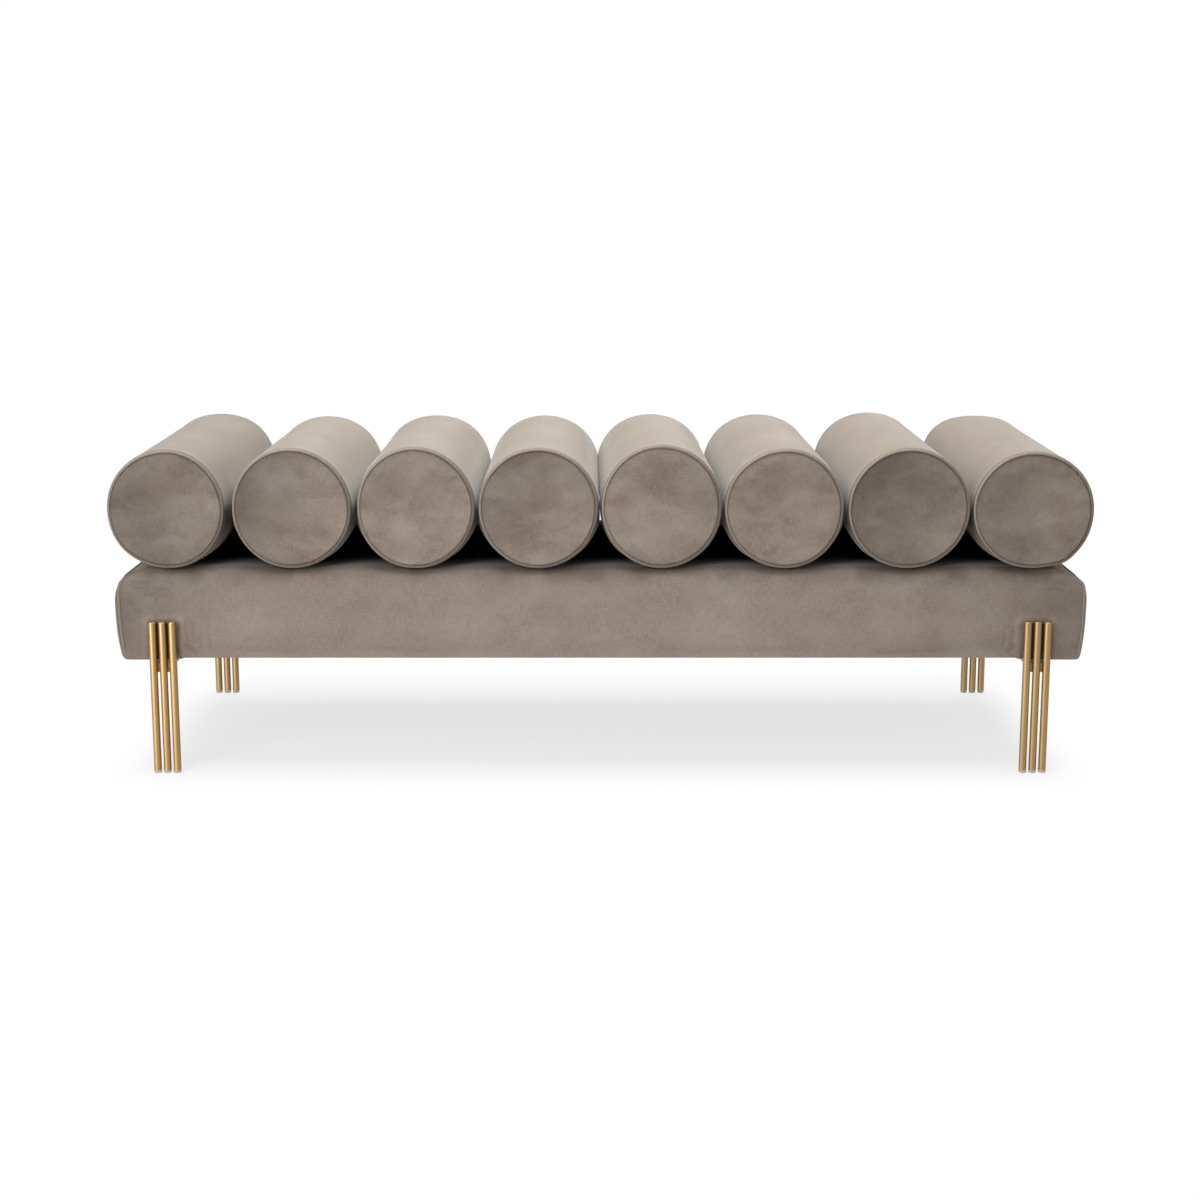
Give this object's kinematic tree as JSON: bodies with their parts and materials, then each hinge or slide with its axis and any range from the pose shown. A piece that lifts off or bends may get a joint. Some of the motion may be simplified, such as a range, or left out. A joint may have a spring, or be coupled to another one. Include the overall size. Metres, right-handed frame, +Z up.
{
  "type": "backless divan",
  "caption": "Backless upholstered divan: a row of round velvet bolsters on a velvet box base, on slim brass legs made of upright tubes at the corners.",
  "frame": {"origin": "on the floor, under the middle of the bench", "axes": "+X along the long side, to the right seen from the front; the front faces -Y; +Z up"},
  "size_m": [1.5308, 0.542, 0.514],
  "materials": {
    "velvet": "matte",
    "foam": "matte",
    "pine": "matte",
    "plywood": "matte",
    "satin_brass": "satin",
    "black_steel": "satin",
    "zinc": "satin",
    "clear_grey": "satin",
    "dust_black": "matte"
  },
  "bodies": {
    "root": {"bolster_1_barrel": "velvet", "bolster_1_end_discs": "velvet", "bolster_1_piping": "velvet", "bolster_1_core": "foam", "bolster_2_barrel": "velvet", "bolster_2_end_discs": "velvet", "bolster_2_piping": "velvet", "bolster_2_core": "foam", "bolster_3_barrel": "velvet", "bolster_3_end_discs": "velvet", "bolster_3_piping": "velvet", "bolster_3_core": "foam", "bolster_4_barrel": "velvet", "bolster_4_end_discs": "velvet", "bolster_4_piping": "velvet", "bolster_4_core": "foam", "bolster_5_barrel": "velvet", "bolster_5_end_discs": "velvet", "bolster_5_piping": "velvet", "bolster_5_core": "foam", "bolster_6_barrel": "velvet", "bolster_6_end_discs": "velvet", "bolster_6_piping": "velvet", "bolster_6_core": "foam", "bolster_7_barrel": "velvet", "bolster_7_end_discs": "velvet", "bolster_7_piping": "velvet", "bolster_7_core": "foam", "bolster_8_barrel": "velvet", "bolster_8_end_discs": "velvet", "bolster_8_piping": "velvet", "bolster_8_core": "foam", "bolster_boards": "plywood", "bolster_tee_nuts": "zinc", "bolster_bolts": "zinc", "base_wrap_cover": "velvet", "base_end_panel_left": "velvet", "base_end_panel_right": "velvet", "base_piping": "velvet", "dust_cover": "dust_black", "seat_foam": "foam", "front_foam": "foam", "back_foam": "foam", "end_foams": "foam", "deck_panel": "plywood", "front_rail": "pine", "back_rail": "pine", "end_rails": "pine", "cross_rails": "pine", "leg_blocks": "pine", "front_left_leg": "satin_brass", "front_right_leg": "satin_brass", "back_left_leg": "satin_brass", "back_right_leg": "satin_brass", "front_left_bracket": "black_steel", "front_right_bracket": "black_steel", "back_left_bracket": "black_steel", "back_right_bracket": "black_steel", "leg_glides": "clear_grey", "leg_bolts": "zinc"}
  },
  "joints": []
}
